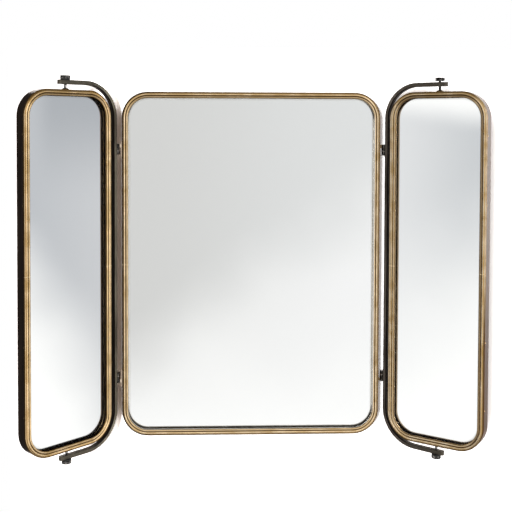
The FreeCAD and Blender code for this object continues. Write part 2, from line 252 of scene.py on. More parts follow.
for name in MIRRORS:
    bpy.ops.object.select_all(action="DESELECT")
    bpy.ops.mesh.primitive_plane_add(size=2.0, location=(0.0, -FILM_FROM_BACK, 0.0), rotation=UPRIGHT)
    film = bpy.context.object
    film.name = name + "_silvering"
    film.scale = (FRAME_HALF_WIDTH[name] - FILM_INSET, FRAME_HALF_HEIGHT - FILM_INSET, 1.0)
    bpy.ops.object.transform_apply(location=True, rotation=True, scale=True)
    edit(film)
    bpy.ops.mesh.select_all(action="SELECT")
    bpy.ops.mesh.bevel(
        offset=FRAME_CORNER - FILM_INSET, segments=FILM_CORNER_STEPS, affect="VERTICES"
    )
    bpy.ops.mesh.select_all(action="SELECT")
    bpy.ops.mesh.extrude_region_move(TRANSFORM_OT_translate={"value": (0.0, FILM_THICKNESS, 0.0)})
    bpy.ops.mesh.select_all(action="SELECT")
    bpy.ops.mesh.normals_make_consistent(inside=False)
    bpy.ops.object.mode_set(mode="OBJECT")
    film.matrix_world = mirror_matrix(name)
    bpy.ops.object.transform_apply(location=True, rotation=True, scale=True)

    silvering, place = start_finish(name + "_silvering")
    across, _, up = in_mirror(place, name)
    mottle = cloud(place, MOTTLE_SCALE, 5.0)
    dulled = rise(inward(across, up, name) - DULLED_WANDER * mottle, *DULLED_EDGE)
    end_finish(
        place,
        Base_Color=tint(dulled * 0.6, SILVER, SILVER_DULLED),
        Roughness=0.01 + 0.02 * mottle + 0.1 * dulled,
        Metallic=1.0,
    )
    film.data.materials.append(silvering)
    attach(film, name)

# Reeded beads
# A deep brass moulding frames each glass: two reeds inside a flat rim, drawn in two halves that are
# soldered half way up the sides. It has aged, with dark patina in the grooves, and the inner reed is
# darker along the top rails and the right wing's right side. The crests are bright from wear and a
# painted highlight; the rim has painted shade; the inner lip has painted light on the sides and top of
# the centre frame and painted shade towards the glass elsewhere.

BEAD_RIM = 2.6
BEAD_WIDTH = 12.0
REED_WIDTH = 4.7
REED_FOOT = 23.3
REED_WANDER = 0.2
CREST_SIDES = (0.85, 0.30)
GROOVE_SIDES = (0.60, 0.92)
RIM_CORNER = (BEAD_RIM + 0.4, BEAD_RIM - 0.2)
INNER_REED = (0.95, 1.1)
PATCH_SCALE = 45.0
SPECK_SCALE = 900.0
DRAWN_SCALE = 6.0
DRAWN_RELIEF = 0.06 * MM
END_RAIL = (285.0, 322.0)
TOP_RAIL = (300.0, 326.0)
# The crest colour per mirror: wear plus a painted highlight, brighter or duller as each mirror was lit.
BRASS_CREST_AS_LIT = {
    "centre": (0.92, 0.73, 0.49),
    "left_wing": (0.95, 0.71, 0.43),
    "right_wing": (0.80, 0.66, 0.47),
}
# Grazing reflection tint per mirror, pale on the centre as painted light on its inner lip.
BRASS_GRAZING_AS_LIT = {
    "centre": (0.98, 0.95, 0.90),
    "left_wing": (0.35, 0.24, 0.14),
    "right_wing": (0.35, 0.24, 0.14),
}
BRASS_FLANK = (0.44, 0.27, 0.07)
BRASS_AGED = (0.42, 0.255, 0.07)
BRASS_DULL = (0.36, 0.28, 0.18)
BRASS_BROWN = (0.17, 0.112, 0.058)
BROWN_AT_TOP = {"centre": 0.5, "left_wing": 0.4, "right_wing": 0.7}
BROWN_AT_RIGHT = {"centre": 0.0, "left_wing": 0.0, "right_wing": 0.75}
BROWN_FROM = (0.5, 0.85)
GROOVE_DARK = (0.13, 0.064, 0.010)
SOLDER = (0.92, 0.74, 0.46)
SEAM_HALF = (0.8, 0.35)
# Painted shade on the bead's outer rim, black on the centre frame's left side.
RIM_SHADE = (0.11, 0.060, 0.014)
RIM_SHADE_DEEP = (0.020, 0.009, 0.002)
RIM_DEEP_SHADE_ON = {"centre": 1.0, "left_wing": 0.0, "right_wing": 0.0}
RIM_DEEP_SHADE_WIDER = 0.5
DEEP_SHADE_SIDE = (-150.0, -235.0)
RIM_DARK_WIDTH = {"centre": 2.2, "left_wing": 0.8, "right_wing": 0.8}
RIM_DARK_AT_ENDS = 2.3
RIM_FADE = (0.3, -0.2)
RIM_RIGHT_LIGHT_AND_SHADE = {"centre": 0.0, "left_wing": 0.0, "right_wing": 0.9}
RIGHT_SIDE = (60.0, 90.0)
RIM_LIT_ABOVE = (-130.0, 30.0)
# The inner lip's tone per mirror as it is lit: painted light on the centre, painted shade on the wings.
LIP_TONE_AS_LIT = {
    "centre": (0.98, 0.95, 0.89),
    "left_wing": (0.17, 0.12, 0.065),
    "right_wing": (0.48, 0.38, 0.26),
}
LIP_SHADE = (0.008, 0.006, 0.005)
LIP_SHADE_FROM = {"centre": 16.2, "left_wing": 22.6, "right_wing": 18.8}
LIP_SHADE_AT_ENDS = {"centre": 6.3, "left_wing": 2.4, "right_wing": 3.2}
LIP_SHADE_FADE = 1.6
LIP_LIT_AT_TOP = {"centre": 0.9, "left_wing": 0.0, "right_wing": 0.0}
LIP_ENDS = {"centre": (264.0, 298.0), "left_wing": END_RAIL, "right_wing": END_RAIL}
LIP_FRONT = (-REED_FOOT - 0.3, -REED_FOOT + 0.4)
LIP_EDGE = (BEAD_WIDTH - 0.3, BEAD_WIDTH - 0.05)
LIT_EDGE = {"centre": 0.95, "left_wing": 0.0, "right_wing": 0.0}
LIT_EDGE_FROM = (BEAD_WIDTH - 2.2, BEAD_WIDTH - 1.0)


def strip_lines(across, scale, detail):
    """Fine lines along a drawn or rolled strip, at random distances across it in millimetres."""
    inputs = {"W": across, "Scale": scale, "Detail": detail}
    return across.node("TexNoise", {"noise_dimensions": "1D"}, inputs)


for name in MIRRORS:
    aged_brass, place = start_finish(name + "_aged_brass")
    across, depth, up = in_mirror(place, name)
    inset = inward(across, up, name)
    patches = cloud(place, PATCH_SCALE)
    specks = cloud(place, SPECK_SCALE, 3.0)
    drawn = strip_lines(inset, DRAWN_SCALE, 2.0)
    uneven = REED_WANDER * (patches - 0.5)
    at_ends = rise(abs(up) / MM, *END_RAIL)
    at_top = rise(up / MM, *TOP_RAIL)
    at_corners = rise(abs(up) / MM, *LIP_ENDS[name])
    at_right = rise(across / MM, *RIGHT_SIDE)

    reeds = (inset - BEAD_RIM) / REED_WIDTH
    off_crest = abs(reeds.math("FRACT", reeds) - 0.5) * 2.0
    # Crest mask: where the wear and the painted highlight lie on each reed.
    crest_highlight = rise(off_crest + uneven, *CREST_SIDES)
    crest_highlight = crest_highlight.math("MAXIMUM", crest_highlight, rise(inset, *RIM_CORNER))
    inner_reed = rise(reeds + uneven, *INNER_REED)
    aged = rise(patches * 0.55 + specks * 0.2 + drawn * 0.25 + 0.1 * at_top, 0.40, 0.64)
    # The inner reed is darker brown along the top rails and the right wing's right side.
    darker_inner_reed = at_right * BROWN_AT_RIGHT[name]
    darker_inner_reed = darker_inner_reed.math("MAXIMUM", darker_inner_reed, at_top * BROWN_AT_TOP[name])
    darker_inner_reed = darker_inner_reed * rise(reeds + uneven, *BROWN_FROM)
    # Painted light along the centre frame's right inner edge.
    lit_edge = LIT_EDGE[name] * at_right * (1.0 - at_corners) * rise(inset, *LIT_EDGE_FROM)
    groove = rise(off_crest + uneven, *GROOVE_SIDES) * rise(inset, BEAD_RIM, BEAD_RIM + 1.0)
    groove = groove * (1.0 - lit_edge)
    seam = rise(abs(up) / MM + 0.6 * (specks - 0.5), *SEAM_HALF)

    # Painted shade darkens the outer rim: wider at the ends and low on the right wing's right side, and
    # black on the centre frame's left side. Higher up on that side of the right wing it is left off, as
    # painted light.
    rubbed = RIM_RIGHT_LIGHT_AND_SHADE[name] * at_right
    rim_lit_above = rise(up / MM, *RIM_LIT_ABOVE)
    wide = at_ends.math("MAXIMUM", at_ends, rubbed * (1.0 - rim_lit_above))
    deep_rim_shade = RIM_DEEP_SHADE_ON[name] * rise(across / MM, *DEEP_SHADE_SIDE)
    wider = (RIM_DARK_AT_ENDS - RIM_DARK_WIDTH[name]) * wide
    rim_width = RIM_DARK_WIDTH[name] + wider + RIM_DEEP_SHADE_WIDER * deep_rim_shade
    rim_shade = rise(inset + 0.5 * (patches - 0.5) - rim_width, *RIM_FADE) * (1.0 - rubbed * rim_lit_above)

    # Painted shade on the inner lip towards the glass, deeper at the ends except at the centre frame's
    # top.
    behind = depth / MM + 0.5 * (specks - 0.5)
    lip = rise(behind, *LIP_FRONT) * rise(inset, *LIP_EDGE)
    lip_shade_at_ends = at_corners * (1.0 - LIP_LIT_AT_TOP[name] * at_top)
    lip_shade_from = LIP_SHADE_FROM[name] + LIP_SHADE_AT_ENDS[name] * lip_shade_at_ends
    lip_shade = rise(behind + lip_shade_from, 0.0, LIP_SHADE_FADE)

    colour = tint(aged * 0.75, tint(crest_highlight, BRASS_FLANK, BRASS_CREST_AS_LIT[name]), BRASS_AGED)
    colour = tint(inner_reed * 0.25, colour, BRASS_DULL)
    colour = tint(darker_inner_reed, colour, BRASS_BROWN)
    colour = tint(groove * 0.9, colour, GROOVE_DARK)
    colour = tint(lit_edge, colour, LIP_TONE_AS_LIT[name])
    colour = tint(rim_shade * 0.95, colour, tint(deep_rim_shade, RIM_SHADE, RIM_SHADE_DEEP))
    colour = tint(seam * 0.8, colour, SOLDER)
    end_finish(
        place,
        relief=specks * 0.6 + drawn * 0.4,
        depth=DRAWN_RELIEF,
        Base_Color=tint(lip, colour, tint(lip_shade, LIP_TONE_AS_LIT[name], LIP_SHADE)),
        Roughness=0.2 + 0.12 * aged + 0.2 * groove + 0.2 * rim_shade,
        Metallic=1.0 - 0.1 * groove,
        Specular_Tint=BRASS_GRAZING_AS_LIT[name],
    )
    give(aged_brass, name + "_bead_upper", name + "_bead_lower")

# Edge bands
# A thin strip of bronzed metal is bent round the edge of each board and meets the bead's
# outer edge. Round-headed brass pins on its upright sides hold it to the back of the bead.

BAND_DEPTH = 21.0
BRONZE_DARK = (0.036, 0.026, 0.019)
BRONZE_LIGHT = (0.100, 0.074, 0.058)
BRONZE_WORN = (0.34, 0.24, 0.15)
BRONZE_AT_GRAZING = (0.52, 0.48, 0.46)
STREAK_SCALE = 60.0
STREAK_STRETCH = (1.0, 1.0, 0.12)
PITTING_SCALE = 700.0
ROLLED_SCALE = 4.0
ROLLED_RELIEF = 0.05 * MM
WORN_EDGE = (0.9, 0.1)
COAT_WEIGHT = 0.85
COAT_WORN = 0.5
COAT_ROUGHNESS = 0.16
COAT_TINT = (1.0, 0.92, 0.88)
# Painted shade: the coat's sheen is taken away towards the bottom of the right wing's band.
COAT_SHADED = {"centre": 0.0, "left_wing": 0.0, "right_wing": 0.85}
COAT_SHADED_BELOW = (280.0, -340.0)

for name in MIRRORS:
    bronzed_band, place = start_finish(name + "_bronzed_band")
    _, depth, up = in_mirror(place, name)
    from_edge = BAND_DEPTH / 2 - abs(depth / MM + BAND_DEPTH / 2)
    streaks = cloud(place, STREAK_SCALE, 5.0, STREAK_STRETCH)
    pitting = cloud(place, PITTING_SCALE, 3.0)
    rolled = strip_lines(depth / MM, ROLLED_SCALE, 3.0)
    worn = rise(from_edge + 1.2 * (pitting - 0.5) + 1.5 * (streaks - 0.5), *WORN_EDGE)
    # Painted shade towards the bottom of the right wing's band.
    coat_shade = COAT_SHADED[name] * rise(up / MM, *COAT_SHADED_BELOW)
    colour = tint(rise(streaks * 0.7 + rolled * 0.3, 0.35, 0.65), BRONZE_DARK, BRONZE_LIGHT)
    end_finish(
        place,
        relief=pitting * 0.6 + rolled * 0.4,
        depth=ROLLED_RELIEF,
        Base_Color=tint(worn * 0.7, colour, BRONZE_WORN),
        Roughness=0.28 + 0.14 * streaks,
        Metallic=1.0,
        Specular_Tint=BRONZE_AT_GRAZING,
        Coat_Weight=(COAT_WEIGHT - COAT_WORN * worn) * (1.0 - coat_shade),
        Coat_Roughness=COAT_ROUGHNESS,
        Coat_Tint=COAT_TINT,
    )
    give(bronzed_band, name + "_edge_band")

PIN_STEPS = 24
PIN_DOME_STEPS = 5
PIN_CREASE = math.radians(40.0)
BAND_PIN_RADIUS = 0.8 * MM
BAND_PIN_LENGTH = 3.6 * MM
BAND_PIN_HEAD_RADIUS = 1.6 * MM
BAND_PIN_HEAD_RISE = 0.8 * MM
BAND_PIN_FROM_BACK = 18.5 * MM
BAND_PIN_LEVELS = (-252.0 * MM, -126.0 * MM, 126.0 * MM, 252.0 * MM)
PIN_RELIEF = 0.03 * MM
PIN_DULL = (0.060, 0.042, 0.026)
# Pin brass per mirror as it is lit: painted shade on the left wing, painted light on the right wing.
PIN_BRASS_AS_LIT = {
    "centre": (0.60, 0.43, 0.22),
    "left_wing": (0.13, 0.095, 0.055),
    "right_wing": (0.80, 0.58, 0.32),
}


def pick(kind, wanted):
    """Selects what is wanted of the open piece: a test on the middle and the normal."""
    bpy.ops.mesh.select_mode(type=kind)
    bpy.ops.mesh.select_all(action="DESELECT")
    shape = bmesh.from_edit_mesh(bpy.context.edit_object.data)
    for item in {"VERT": shape.verts, "FACE": shape.faces}[kind]:
        middle = item.co if kind == "VERT" else item.calc_center_median()
        item.select_set(wanted(middle, item.normal))
    shape.select_flush_mode()
    bmesh.update_edit_mesh(bpy.context.edit_object.data)


def draw_out(length, scale):
    """Extrudes the chosen face along Z and sizes its new rim about the Z axis."""
    bpy.ops.mesh.extrude_region_move(TRANSFORM_OT_translate={"value": (0.0, 0.0, length)})
    bpy.ops.transform.resize(value=(scale, scale, 1.0), center_override=(0.0, 0.0, 0.0))


def domed_pin(radius, length, head_radius, head_rise):
    """A pin along Z, its shank below the origin and its round head above."""
    bpy.ops.object.select_all(action="DESELECT")
    bpy.ops.mesh.primitive_cylinder_add(
        vertices=PIN_STEPS, radius=radius, depth=length, location=(0.0, 0.0, -length / 2)
    )
    pin = bpy.context.object
    bpy.ops.object.transform_apply(location=True)
    edit(pin)
    pick("FACE", lambda middle, normal: normal.z > 0.9)
    draw_out(0.0, head_radius / radius)
    step = math.pi / 2 / (PIN_DOME_STEPS + 1)
    for count in range(PIN_DOME_STEPS):
        rise_now = math.sin((count + 1) * step) - math.sin(count * step)
        narrowing = math.cos((count + 1) * step) / math.cos(count * step)
        draw_out(head_rise * rise_now, narrowing)
    bpy.ops.object.mode_set(mode="OBJECT")
    bpy.ops.object.shade_smooth_by_angle(angle=PIN_CREASE)
    return pin


def copies(pattern, matrices, name):
    """Copies a piece to each place and joins the copies into one piece."""
    bpy.ops.object.select_all(action="DESELECT")
    for matrix in matrices:
        piece = pattern.copy()
        piece.data = pattern.data.copy()
        bpy.context.collection.objects.link(piece)
        piece.matrix_world = matrix
        piece.select_set(True)
        bpy.context.view_layer.objects.active = piece
    bpy.ops.object.join()
    bpy.ops.object.transform_apply(location=True, rotation=True, scale=True)
    joined = bpy.context.object
    joined.name = name
    return joined


def coat(piece, material):
    """Puts a finish on a new piece, in place of any other."""
    piece.data.materials.clear()
    piece.data.materials.append(material)


pattern = domed_pin(BAND_PIN_RADIUS, BAND_PIN_LENGTH, BAND_PIN_HEAD_RADIUS, BAND_PIN_HEAD_RISE)
for name in MIRRORS:
    pin_places = []
    for hand in (-1, 1):
        facing = Matrix.Rotation(hand * math.pi / 2, 4, "Y")
        for level in BAND_PIN_LEVELS:
            spot = Matrix.Translation((hand * FRAME_HALF_WIDTH[name], -BAND_PIN_FROM_BACK, level))
            pin_places.append(mirror_matrix(name) @ spot @ facing)
    pins = copies(pattern, pin_places, name + "_domed_pins")
    rubbed_pin, place = start_finish(name + "_rubbed_pin")
    rubbed = rise(cloud(place, PITTING_SCALE, 3.0), 0.3, 0.55)
    end_finish(
        place,
        relief=rubbed,
        depth=PIN_RELIEF,
        Base_Color=tint(rubbed, PIN_DULL, PIN_BRASS_AS_LIT[name]),
        Roughness=0.36 - 0.14 * rubbed,
        Metallic=1.0,
    )
    coat(pins, rubbed_pin)
    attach(pins, name)
    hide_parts(name + "_band_pins")
bpy.data.objects.remove(pattern)

# Hinge lugs
# Four cast brass lugs carry the arms: a base plate screwed to the side of the centre frame, a web
# and a barrel. The barrels are blackened; the brass webs have painted light on the left and painted shade
# on the right.

SIDES = ("left", "right")
ENDS = ("upper", "lower")
CORNERS = [side + "_" + end for side in SIDES for end in ENDS]
BLACKENED = (0.020, 0.018, 0.017)
BLACKENED_LIGHT = (0.130, 0.120, 0.110)
RUBBED_METAL = (0.46, 0.41, 0.36)
CAST_BRASS_LIT = (0.90, 0.74, 0.58)
CAST_BRASS_SHADED = (0.16, 0.105, 0.055)
CASTING_SCALE = 300.0
CASTING_RELIEF = 0.15 * MM
BARREL_EDGE = (256.0, 254.4)
JOINT_LEVEL = 220.0
JOINT_RUBBED = (1.1, 0.5)


def rubbed_joint(place, castings):
    """1 at the joint of lug and knuckle, where they rub on each other."""
    z = place.node("SeparateXYZ", {}, {"Vector": place}, output="Z")
    off_joint = abs(abs(z) / MM - JOINT_LEVEL)
    return rise(off_joint + 0.8 * (castings - 0.5), *JOINT_RUBBED)


blackened_lug, place = start_finish("blackened_lug")
x = place.node("SeparateXYZ", {}, {"Vector": place}, output="X")
castings = cloud(place, CASTING_SCALE)
near_frame = rise(abs(x) / MM + 1.2 * (castings - 0.5), *BARREL_EDGE)
# Painted light on the left lugs' webs, painted shade on the right ones.
web_as_lit = tint(rise(x / MM, -1.0, 1.0), CAST_BRASS_LIT, CAST_BRASS_SHADED)
colour = tint(rise(castings, 0.35, 0.65), BLACKENED, BLACKENED_LIGHT)
colour = tint(rubbed_joint(place, castings) * 0.8, colour, RUBBED_METAL)
end_finish(
    place,
    relief=castings,
    depth=CASTING_RELIEF,
    Base_Color=tint(near_frame * 0.85, colour, web_as_lit),
    Roughness=0.36 - 0.1 * castings,
    Metallic=1.0,
)
give(blackened_lug, *[corner + "_hinge_lug" for corner in CORNERS])

# Wood screws
# Countersunk steel screws with a slotted head hold the lugs and the keyhole plates. The
# head sits flush in its plate, and the thread below it is in the board.

SCREW_HEAD_RADIUS = 2.4 * MM
SCREW_HEAD_HEIGHT = 1.5 * MM
SCREW_HEAD_RIM = 0.2 * MM
SCREW_SHANK_RADIUS = 1.2 * MM
SCREW_ROOT_RADIUS = 0.9 * MM
SCREW_LENGTH = 12.0 * MM
SCREW_POINT = 2.5 * MM
SCREW_POINT_TAPER = 0.12
SCREW_PITCH = 1.0 * MM
SCREW_STEPS = 32
SLOT_WIDTH = 0.7 * MM
SLOT_DEPTH = 0.8 * MM
LUG_FACE_X = 252.0 * MM
LUG_SCREW_Z = (209.3 * MM, 235.9 * MM)
LUG_SLOT_TURN = 0.5
LUG_SLOT_BY_SCREW = 1.1
LUG_SLOT_BY_END = 0.7
PLATE_SCREW_X = 150.0 * MM
PLATE_SCREW_Z = (212.5 * MM, 245.0 * MM)
PLATE_SLOT_TURN = 0.4
PLATE_SLOT_BY_SCREW = 0.9
PLATE_SLOT_BY_SIDE = 0.7
STEEL_DARK = (0.22, 0.21, 0.19)
STEEL_LIGHT = (0.55, 0.54, 0.51)
STAIN_SCALE = 500.0
STEEL_RELIEF = 0.03 * MM


def wood_screw():
    """One screw along Z with the top of its head at the origin."""
    bpy.ops.object.select_all(action="DESELECT")
    bpy.ops.mesh.primitive_cylinder_add(
        vertices=SCREW_STEPS,
        radius=SCREW_HEAD_RADIUS,
        depth=SCREW_HEAD_RIM,
        location=(0.0, 0.0, -SCREW_HEAD_RIM / 2),
    )
    screw = bpy.context.object
    bpy.ops.object.transform_apply(location=True)
    edit(screw)
    pick("FACE", lambda middle, normal: normal.z < -0.9)
    draw_out(SCREW_HEAD_RIM - SCREW_HEAD_HEIGHT, SCREW_SHANK_RADIUS / SCREW_HEAD_RADIUS)
    draw_out(-SCREW_PITCH, 1.0)
    threaded = SCREW_LENGTH - SCREW_POINT - SCREW_HEAD_HEIGHT - SCREW_PITCH
    narrow = SCREW_ROOT_RADIUS / SCREW_SHANK_RADIUS
    for _ in range(int(threaded / SCREW_PITCH)):
        draw_out(-SCREW_PITCH / 2, narrow)
        draw_out(-SCREW_PITCH / 2, 1 / narrow)
    draw_out(-SCREW_POINT, SCREW_POINT_TAPER)
    bpy.ops.object.mode_set(mode="OBJECT")

    bpy.ops.mesh.primitive_cube_add(size=1.0, location=(0.0, 0.0, 0.0))
    slot = bpy.context.object
    slot.scale = (3 * SCREW_HEAD_RADIUS, SLOT_WIDTH, 2 * SLOT_DEPTH)
    bpy.ops.object.transform_apply(scale=True)
    bpy.context.view_layer.objects.active = screw
    cut = screw.modifiers.new("slot", "BOOLEAN")
    cut.operation = "DIFFERENCE"
    cut.object = slot
    bpy.ops.object.modifier_apply(modifier=cut.name)
    bpy.data.objects.remove(slot)
    return screw


screw_steel, place = start_finish("screw_steel")
stain = rise(cloud(place, STAIN_SCALE), 0.35, 0.65)
end_finish(
    place,
    relief=stain,
    depth=STEEL_RELIEF,
    Base_Color=tint(stain, STEEL_DARK, STEEL_LIGHT),
    Roughness=0.5 - 0.18 * stain,
    Metallic=1.0,
)

pattern = wood_screw()
lug_places = []
for hand in (-1, 1):
    facing = Matrix.Rotation(hand * math.pi / 2, 4, "Y")
    for end in (-1, 1):
        for count, level in enumerate(LUG_SCREW_Z):
            angle = LUG_SLOT_TURN + LUG_SLOT_BY_SCREW * count + hand + LUG_SLOT_BY_END * end
            spot = Matrix.Translation((hand * LUG_FACE_X, -AXIS_FROM_BACK, end * level))
            lug_places.append(spot @ facing @ Matrix.Rotation(angle, 4, "Z"))
lug_screws = copies(pattern, lug_places, "lug_wood_screws")
coat(lug_screws, screw_steel)
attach(lug_screws, "centre")
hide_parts("hinge_lug_screws")

plate_places = []
facing = Matrix.Rotation(-math.pi / 2, 4, "X")
for hand in (-1, 1):
    for count, level in enumerate(PLATE_SCREW_Z):
        angle = PLATE_SLOT_TURN + PLATE_SLOT_BY_SCREW * count + PLATE_SLOT_BY_SIDE * hand
        spot = Matrix.Translation((hand * PLATE_SCREW_X, 0.0, level))
        plate_places.append(spot @ facing @ Matrix.Rotation(angle, 4, "Z"))
plate_screws = copies(pattern, plate_places, "plate_wood_screws")
coat(plate_screws, screw_steel)
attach(plate_screws, "centre")
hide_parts("keyhole_plate_screws")
bpy.data.objects.remove(pattern)

# Hinge pins and arm knuckles
# A steel pin with a domed head drops through each lug into the knuckle next to it, which is
# brazed to the outer side of the arm. Both are blackened, and rubbed where they turn.

HAND = {"left": -1, "right": 1}
OVER = {"upper": Matrix.Identity(4), "lower": Matrix.Rotation(math.pi, 4, "X")}
HINGE_X = 259.0 * MM
HINGE_PIN_TOP = 232.7 * MM
HINGE_PIN_RADIUS = 2.0 * MM
HINGE_PIN_LENGTH = 20.2 * MM
HINGE_PIN_HEAD_RADIUS = 3.0 * MM
HINGE_PIN_HEAD_RISE = 1.5 * MM
RING_SCALE = 900.0
RING_STRETCH = (0.15, 0.15, 1.0)
RING_RELIEF = 0.02 * MM

blackened_knuckle, place = start_finish("blackened_knuckle")
castings = cloud(place, CASTING_SCALE)
colour = tint(rise(castings, 0.35, 0.65), BLACKENED, BLACKENED_LIGHT)
end_finish(
    place,
    relief=castings,
    depth=CASTING_RELIEF,
    Base_Color=tint(rubbed_joint(place, castings) * 0.8, colour, RUBBED_METAL),
    Roughness=0.36 - 0.1 * castings,
    Metallic=1.0,
)
give(blackened_knuckle, *[corner + "_arm_knuckle" for corner in CORNERS])

turned_steel, place = start_finish("turned_steel")
rings = cloud(place, RING_SCALE, 2.0, RING_STRETCH)
end_finish(
    place,
    relief=rings,
    depth=RING_RELIEF,
    Base_Color=tint(rise(rings, 0.3, 0.7), BLACKENED_LIGHT, STEEL_DARK),
    Roughness=0.32 + 0.1 * rings,
    Metallic=1.0,
)

pattern = domed_pin(HINGE_PIN_RADIUS, HINGE_PIN_LENGTH, HINGE_PIN_HEAD_RADIUS, HINGE_PIN_HEAD_RISE)
for side in SIDES:
    for end in ENDS:
        name = side + "_" + end
        spot = Matrix.Translation((HAND[side] * HINGE_X, -AXIS_FROM_BACK, 0.0))
        head = Matrix.Translation((0.0, 0.0, HINGE_PIN_TOP))
        pin = copies(pattern, [spot @ OVER[end] @ head], name + "_domed_hinge_pin")
        coat(pin, turned_steel)
        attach(pin, "centre")
        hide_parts(name + "_hinge_pin")
bpy.data.objects.remove(pattern)

# Yoke arms
# Each wing hangs in a C-shaped bar of bronzed steel, bent round the wing at an even gap. The
# long corners of the bar are rubbed a little lighter than its faces. Its inner side has painted shade, and
# the right arm is toned darker than the left as painted shade.

ARM_TURN = {"left": math.radians(43.0), "right": math.radians(-39.0)}
ARM_GAP = 10.0
ARM_WIDTH = 8.0
ARM_DEPTH = 10.0
ARM_INNER_SIDE = (ARM_GAP + 2.6, ARM_GAP + 1.6)
ARM_UPRIGHT = (40.0, 75.0)
ARM_END_RAILS = (95.0, 60.0)
ARM_CORNER_RUBBED = (-1.1, -0.45)
ARM_INNER_SHADE = (0.012, 0.009, 0.007)
ARM_ENDS = (0.085, 0.075, 0.058)
# Tone range per arm: the right one darker as painted shade.
ARM_DARK = {"left": (0.130, 0.116, 0.090), "right": (0.060, 0.050, 0.042)}
ARM_LIGHT = {"left": (0.330, 0.300, 0.232), "right": (0.190, 0.165, 0.142)}
ARM_RUBBED = (0.33, 0.29, 0.22)
STROKE_SCALE = 80.0
STROKE_STRETCH = (1.0, 1.0, 0.15)
ARM_SPECK_SCALE = 800.0
ARM_RELIEF = 0.05 * MM

for side in SIDES:
    bronzed_arm, place = start_finish(side + "_bronzed_arm")
    across, depth, up = in_mirror(place, side + "_wing", ARM_TURN[side])
    outside = -inward(across, up, side + "_wing")
    off_width = abs(outside - (ARM_GAP + ARM_WIDTH / 2)) - ARM_WIDTH / 2
    off_depth = abs(depth / MM + AXIS_FROM_BACK / MM) - ARM_DEPTH / 2
    strokes = cloud(place, STROKE_SCALE, 5.0, STROKE_STRETCH)
    specks = cloud(place, ARM_SPECK_SCALE, 3.0)
    corner = off_width + off_depth + 0.9 * (strokes - 0.5) + 0.6 * (specks - 0.5)
    rubbed = rise(corner, *ARM_CORNER_RUBBED)
    # Painted shade on the arm's inner side.
    inner_shade = rise(outside + 0.6 * (strokes - 0.5), *ARM_INNER_SIDE)
    inner_shade = inner_shade * rise(abs(across) / MM, *ARM_UPRIGHT)
    colour = tint(rise(strokes * 0.7 + specks * 0.3, 0.35, 0.65), ARM_DARK[side], ARM_LIGHT[side])
    colour = tint(rubbed * 0.8, colour, ARM_RUBBED)
    colour = tint(rise(abs(across) / MM, *ARM_END_RAILS) * 0.8, colour, ARM_ENDS)
    end_finish(
        place,
        relief=specks,
        depth=ARM_RELIEF,
        Base_Color=tint(inner_shade, colour, ARM_INNER_SHADE),
        Roughness=0.38 + 0.16 * strokes,
        Metallic=1.0,
    )
    give(bronzed_arm, side + "_yoke_arm")

# Wing pivots
# Each wing turns on two thumb screws that pass through the ends of its arm into threaded
# brass bushes in the board. A flared collar sits on the band at each screw, and three of the four
# knobs sit on a rubber washer.

COLLAR_DARK = (0.035, 0.028, 0.022)
COLLAR_LIGHT = (0.30, 0.21, 0.11)
COLLAR_RELIEF = 0.05 * MM
BUSH_DARK = (0.33, 0.21, 0.08)
BUSH_LIGHT = (0.70, 0.50, 0.24)
WEAR_SCALE = 350.0
RUBBER_DARK = (0.010, 0.010, 0.010)
RUBBER_DUSTY = (0.040, 0.039, 0.037)
DUST_SCALE = 500.0
DUST_RELIEF = 0.06 * MM

pivot_brass, place = start_finish("pivot_brass")
worn = rise(cloud(place, WEAR_SCALE), 0.35, 0.7)
end_finish(
    place,
    relief=worn,
    depth=COLLAR_RELIEF,
    Base_Color=tint(worn, COLLAR_DARK, COLLAR_LIGHT),
    Roughness=0.4 - 0.12 * worn,
    Metallic=1.0,
)
give(pivot_brass, *[corner + "_pivot_collar" for corner in CORNERS])

bush_brass, place = start_finish("bush_brass")
worn = rise(cloud(place, WEAR_SCALE), 0.35, 0.7)
end_finish(
    place,
    Base_Color=tint(worn, BUSH_DARK, BUSH_LIGHT),
    Roughness=0.38 - 0.1 * worn,
    Metallic=1.0,
)
give(bush_brass, *[corner + "_threaded_insert" for corner in CORNERS])

rubber, place = start_finish("rubber")
dust = rise(cloud(place, DUST_SCALE, 5.0), 0.4, 0.7)
end_finish(
    place,
    relief=dust,
    depth=DUST_RELIEF,
    Base_Color=tint(dust, RUBBER_DARK, RUBBER_DUSTY),
    Roughness=0.6 + 0.2 * dust,
)
washers = [corner + "_friction_washer" for corner in CORNERS]
give(rubber, *[name for name in washers if name in frame["nodes"]])

KNOB_RADIUS = 9.0 * MM
KNOB_HEIGHT = 6.5 * MM
KNOB_CROWN = 0.4 * MM
KNOB_BEVEL = 0.8 * MM
KNOB_BEVEL_STEPS = 3
KNOB_BOTTOM = 354.25 * MM
KNOB_RIM = 0.9 * MM
KNOB_SUNK = 0.25 * MM
KNOB_SUNK_TAPER = 0.97
KNOB_SLOPE = 2.6 * MM
KNOB_SLOPE_RISE = 0.45 * MM
KNOB_MIDDLE = 2.4 * MM
KNOB_CREASE = math.radians(28.0)
KNURLS = 40
KNURL_DEPTH = 0.45 * MM
SHANK_RADIUS = 2.5 * MM
SHANK_ROOT_RADIUS = 2.4 * MM
SHANK_END = 326.3 * MM
SHANK_END_TAPER = 0.8
SHANK_PITCH = 1.0 * MM
LEVEL_WITHIN = 0.01 * MM
RIM_WITHIN = 0.02 * MM
KNOB_DARK = (0.016, 0.015, 0.015)
KNOB_LIGHT = (0.130, 0.125, 0.120)
KNOB_RUBBED = (0.48, 0.47, 0.45)
KNOB_AT_GRAZING = (0.30, 0.28, 0.26)
TURNING_SCALE = 700.0
GRIME_SCALE = 160.0
KNOB_RELIEF = 0.04 * MM


